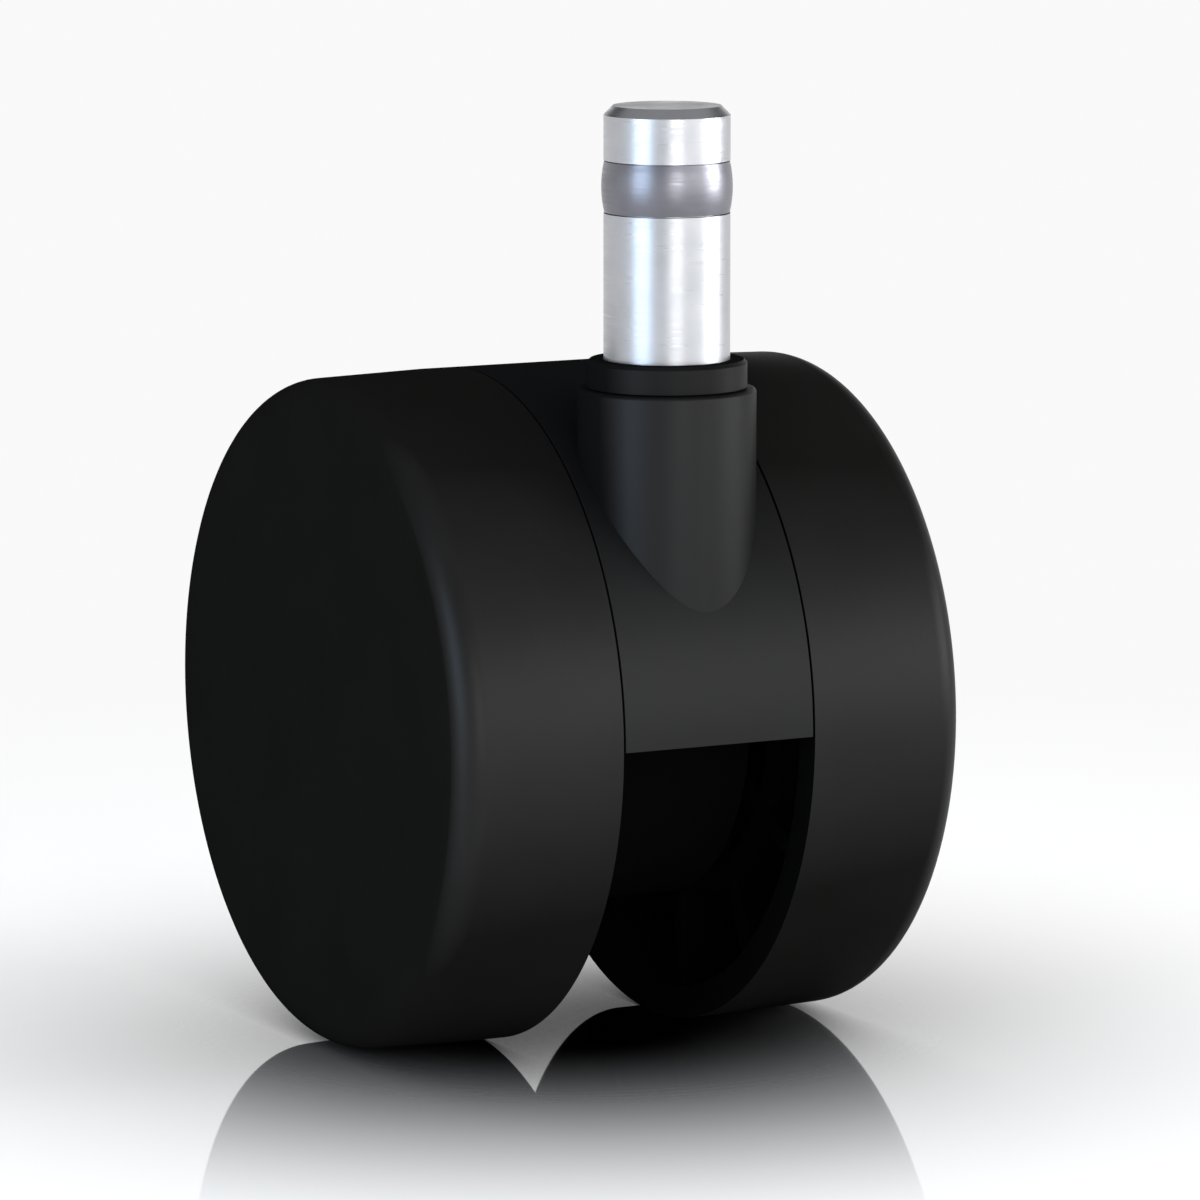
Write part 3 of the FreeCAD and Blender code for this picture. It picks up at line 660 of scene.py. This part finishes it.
def turned_metal_group():
    """A colour, a roughness and a normal for steel from the lathe."""
    tree = bpy.data.node_groups.new("turned_metal", "ShaderNodeTree")
    socket(tree, "Stretch", "Vector", "INPUT", (1, 1, 1))
    socket(tree, "Dark", "Color", "INPUT", (0.4, 0.4, 0.41, 1))
    socket(tree, "Light", "Color", "INPUT", (0.6, 0.6, 0.61, 1))
    socket(tree, "Smooth", "Float", "INPUT", 0.2)
    socket(tree, "Rough", "Float", "INPUT", 0.34)
    socket(tree, "Color", "Color", "OUTPUT")
    socket(tree, "Roughness", "Float", "OUTPUT")
    socket(tree, "Normal", "Vector", "OUTPUT")
    given, result = tree.nodes.new("NodeGroupInput"), tree.nodes.new("NodeGroupOutput")
    place = tree.nodes.new("ShaderNodeTexCoord").outputs["Object"]
    stretched = work_out_vector(tree, "MULTIPLY", place, given.outputs["Stretch"])
    rings = noise(tree, stretched.outputs["Vector"], 1, RING_DETAIL)
    clouds = noise(tree, place, CLOUD_SCALE, CLOUD_DETAIL)
    tone = mix_colours(tree, clouds, given.outputs["Dark"], given.outputs["Light"])
    tree.links.new(tone, result.inputs["Color"])
    gloss = map_range(tree, rings, NOISE_LOW, NOISE_HIGH,
                      given.outputs["Smooth"], given.outputs["Rough"])
    tree.links.new(gloss, result.inputs["Roughness"])
    bump = tree.nodes.new("ShaderNodeBump")
    set_values(bump, {"Strength": RING_STRENGTH, "Distance": RING_HEIGHT})
    tree.links.new(rings, bump.inputs["Height"])
    tree.links.new(bump.outputs["Normal"], result.inputs["Normal"])
    return tree


turned_metal = turned_metal_group()
print("group ready:", turned_metal.name)

# %% [markdown]
# The stem is plated with zinc, the axle is ground bright, and the spring rings are
# dark tempered steel. Those on the axle were turned along it, the grip ring and the
# stem's snap ring along the stem.

# %% Steel materials
ALONG_Z, ALONG_X = (250, 250, 7000), (7000, 250, 250)
SPRING_DARK, SPRING_LIGHT = (0.16, 0.16, 0.18), (0.24, 0.24, 0.27)


def steel(name, stretch, dark, light, smooth, rough):
    """A steel: the shared lathe marks on a metal shader."""
    material = bpy.data.materials.new(name)
    material.use_nodes = True
    tree = material.node_tree
    shader = tree.nodes["Principled BSDF"]
    shader.inputs["Metallic"].default_value = 1
    marks = tree.nodes.new("ShaderNodeGroup")
    marks.node_tree = turned_metal
    set_values(marks, {"Stretch": stretch, "Dark": (*dark, 1), "Light": (*light, 1),
                       "Smooth": smooth, "Rough": rough})
    tree.links.new(marks.outputs["Color"], shader.inputs["Base Color"])
    tree.links.new(marks.outputs["Roughness"], shader.inputs["Roughness"])
    tree.links.new(marks.outputs["Normal"], shader.inputs["Normal"])
    return material


zinc = steel("zinc_plated_steel", ALONG_Z, (0.4, 0.41, 0.43), (0.52, 0.53, 0.56), 0.27, 0.41)
bright = steel("ground_steel", ALONG_X, (0.42, 0.42, 0.43), (0.52, 0.52, 0.53), 0.18, 0.3)
spring = steel("tempered_spring_steel", ALONG_Z, SPRING_DARK, SPRING_LIGHT, 0.28, 0.42)
spring_x = steel("spring_steel_on_axle", ALONG_X, SPRING_DARK, SPRING_LIGHT, 0.28, 0.42)
print("steels ready")

# %% [markdown]
# Each new piece takes its material, rides on the body that carries it and stands
# for its solid. The small parts inside keep their solids, with the right metal or
# plastic on them.

# %% Dress and attach the pieces
PIECES = (
    (left_wheel, "left_wheel", "left_wheel_body", wheel_nylon, "hard_tread"),
    (right_wheel, "right_wheel", "right_wheel_body", wheel_nylon, "hard_tread"),
    (housing, "housing", "housing_body", hood_nylon, "moulded_nylon"),
    (collar, "stem_collar", "stem_body", collar_nylon, "collar_nylon"),
    (stem, "stem", "stem_body", zinc, "plated_steel"),
)
for piece, node, body, material, slot in PIECES:
    piece.data.materials.clear()
    piece.data.materials.append(material)
    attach(piece, body)
    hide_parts(node)

KEPT_SOLIDS = {"axle": bright, "left_axle_ring": spring_x, "right_axle_ring": spring_x,
               "grip_ring": spring, "stem_snap_ring": spring, "thrust_disc": acetal}
for node, material in KEPT_SOLIDS.items():
    for place in nodes[node].material_slots:
        place.material = material
print("pieces attached:", len(PIECES), "new,", len(KEPT_SOLIDS), "solids kept")

# %% [markdown]
# The floor is a polished white sheet. Close to the castor it mirrors the wheels, and further out
# it is plain white and runs into the surroundings. Both changes follow the distance from the
# middle of the wheels. A pure mirror shows no shadow, so its colour is darkened by a painted
# shadow where the wheels close it in.
# For the light that it throws up at the castor the sheet is plain white.

# %% Lay the floor
FLOOR_Z, FLOOR_HALF, FLOOR_DROP = wheel_low.z, 3.0, 0.01 * MM
FLOOR_WHITE = (0.95, 0.95, 0.95, 1)
MIRROR_FULL, MIRROR_END, MIRROR_ROUGH = 0.01, 0.096, 0.03
SHADE_REACH, SHADE_SAMPLES = 0.12, 16
GLOW_START, GLOW_FULL = 0.05, 0.2


def looked_at(tree):
    """1 for the rays that look: from the camera, off a gloss or through glass."""
    rays = tree.nodes.new("ShaderNodeLightPath").outputs
    camera_or_gloss = work_out(tree, "MAXIMUM", rays["Is Camera Ray"], rays["Is Glossy Ray"])
    return work_out(tree, "MAXIMUM", camera_or_gloss, rays["Is Transmission Ray"])


def mix_shaders(tree, factor, first, second):
    """Blend two shaders by a link."""
    node = tree.nodes.new("ShaderNodeMixShader")
    feed(tree, node, (factor, first, second))
    return node.outputs["Shader"]


def floor_material():
    """White, a mirror near the castor, and glowing white far away."""
    material = bpy.data.materials.new("polished_white_floor")
    material.use_nodes = True
    tree = material.node_tree
    tree.nodes.remove(tree.nodes["Principled BSDF"])
    centred = tree.nodes.new("ShaderNodeMapping")
    centred.inputs["Location"].default_value = (0, -axle.y, 0)
    place = tree.nodes.new("ShaderNodeTexCoord").outputs["Object"]
    tree.links.new(place, centred.inputs["Vector"])
    distance = work_out_vector(tree, "LENGTH", centred.outputs["Vector"]).outputs["Value"]
    white = tree.nodes.new("ShaderNodeBsdfDiffuse")
    white.inputs["Color"].default_value = FLOOR_WHITE
    # Painted shadow: the mirror's colour darkens where the wheels close it in.
    shade = tree.nodes.new("ShaderNodeAmbientOcclusion")
    shade.samples = SHADE_SAMPLES
    set_values(shade, {"Color": FLOOR_WHITE, "Distance": SHADE_REACH})
    mirror = tree.nodes.new("ShaderNodeBsdfGlossy")
    mirror.inputs["Roughness"].default_value = MIRROR_ROUGH
    tree.links.new(shade.outputs["Color"], mirror.inputs["Color"])
    shine = map_range(tree, distance, MIRROR_FULL, MIRROR_END, 1, 0, smooth=True)
    bounced = tree.nodes.new("ShaderNodeLightPath").outputs["Is Diffuse Ray"]
    mirrored = work_out(tree, "SUBTRACT", shine, bounced)
    mirrored.node.use_clamp = True
    polished = mix_shaders(tree, mirrored, white.outputs["BSDF"], mirror.outputs["BSDF"])
    away = map_range(tree, distance, GLOW_START, GLOW_FULL, 0, 1, smooth=True)
    share = work_out(tree, "MULTIPLY", looked_at(tree), away)
    glow = tree.nodes.new("ShaderNodeEmission")
    set_values(glow, {"Color": FLOOR_WHITE, "Strength": 1})
    surface = mix_shaders(tree, share, polished, glow.outputs["Emission"])
    tree.links.new(surface, tree.nodes["Material Output"].inputs["Surface"])
    return material


bpy.ops.object.select_all(action="DESELECT")
bpy.ops.mesh.primitive_plane_add(size=2 * FLOOR_HALF, location=(0, 0, FLOOR_Z - FLOOR_DROP))
floor = bpy.context.object
floor.name = "floor"
floor.data.materials.append(floor_material())
print("floor at", round(FLOOR_Z, 5))

# %% [markdown]
# The surroundings are white where a camera or a polished surface looks towards
# the horizon, and darker above, so the tops of the treads stay black. They light
# the castor as a dim grey, so the lamps do the modelling.

# %% White surroundings
DIM_LIGHT = 0.7
SWEEP_START, SWEEP_END = 0.17, 0.42
HORIZON_WHITE, OVERHEAD_GREY = 0.95, 0.06

world = bpy.data.worlds.new("white_studio")
scene.world = world
world.use_nodes = True
studio = world.node_tree
studio.nodes.clear()
dim, white = studio.nodes.new("ShaderNodeBackground"), studio.nodes.new("ShaderNodeBackground")
set_values(dim, {"Color": (1, 1, 1, 1), "Strength": DIM_LIGHT})
looking = studio.nodes.new("ShaderNodeTexCoord").outputs["Generated"]
height = studio.nodes.new("ShaderNodeSeparateXYZ")
studio.links.new(looking, height.inputs["Vector"])
sweep = map_range(studio, height.outputs["Z"], SWEEP_START, SWEEP_END,
                  HORIZON_WHITE, OVERHEAD_GREY, smooth=True)
studio.links.new(sweep, white.inputs["Color"])
chosen = mix_shaders(studio, looked_at(studio), dim.outputs["Background"],
                     white.outputs["Background"])
output = studio.nodes.new("ShaderNodeOutputWorld")
studio.links.new(chosen, output.inputs["Surface"])
print("surroundings ready")

# %% [markdown]
# The lamps are large and soft. The key stands in front to the right, where the
# treads shine towards the camera. A front lamp fills the middle of the boss, a
# cool one from the left draws the bluish streak on the boss and the wheel's rim,
# and one from the right draws the edge light along the boss and the far wheel.
# The top lamp keeps the shadow under the wheels soft.

# %% Set the lamps
WHITE_LIGHT, COOL_LIGHT, PALE_LIGHT = (1, 1, 1), (0.62, 0.8, 1), (0.98, 0.99, 1)
# Name, place, width and height in metres, watts, colour
LAMPS = (
    ("key_lamp", (0.384, -0.713, 0.15), 0.62, 0.4, 1.2, WHITE_LIGHT),
    ("cool_lamp", (-0.5, -0.15, 0.03), 0.28, 0.38, 1.5, COOL_LIGHT),
    ("front_lamp", (-0.14, -0.79, 0.05), 0.3, 0.4, 1.8, WHITE_LIGHT),
    ("side_lamp", (0.8, -0.4, 0.06), 0.42, 0.5, 7, PALE_LIGHT),
    ("top_lamp", (0, 0, 0.9), 2, 2, 4.2, WHITE_LIGHT),
)
for name, place, width, height, watts, colour in LAMPS:
    light = bpy.data.lights.new(name, "AREA")
    light.shape = "RECTANGLE"
    light.size, light.size_y = width, height
    light.energy = watts
    light.color = colour
    lamp = bpy.data.objects.new(name, light)
    scene.collection.objects.link(lamp)
    lamp.location = place
    lamp.rotation_euler = (axle - Vector(place)).to_track_quat("-Z", "Y").to_euler()
print("lamps set:", len(LAMPS))

# %% [markdown]
# The camera stands where the photograph was taken from: in front and to the left,
# a little above the wheels, with a very long lens, which is why the two wheels
# look almost the same size.

# %% Place the camera
CAMERA_AT = Vector((-0.28954, -0.54882, 0.07253))
CAMERA_TURN, CAMERA_RISE = math.radians(-27.28), math.radians(8.59)
LENS, SENSOR = 215.88, 36
NEAR_CLIP, FAR_CLIP = 0.01, 50

camera_data = bpy.data.cameras.new("photo_camera")
camera_data.lens, camera_data.sensor_width = LENS, SENSOR
camera_data.clip_start, camera_data.clip_end = NEAR_CLIP, FAR_CLIP
camera = bpy.data.objects.new("photo_camera", camera_data)
scene.collection.objects.link(camera)
camera.location = CAMERA_AT
camera.rotation_euler = (math.pi / 2 - CAMERA_RISE, 0, CAMERA_TURN)
scene.camera = camera
print("camera at", [round(value, 4) for value in CAMERA_AT])
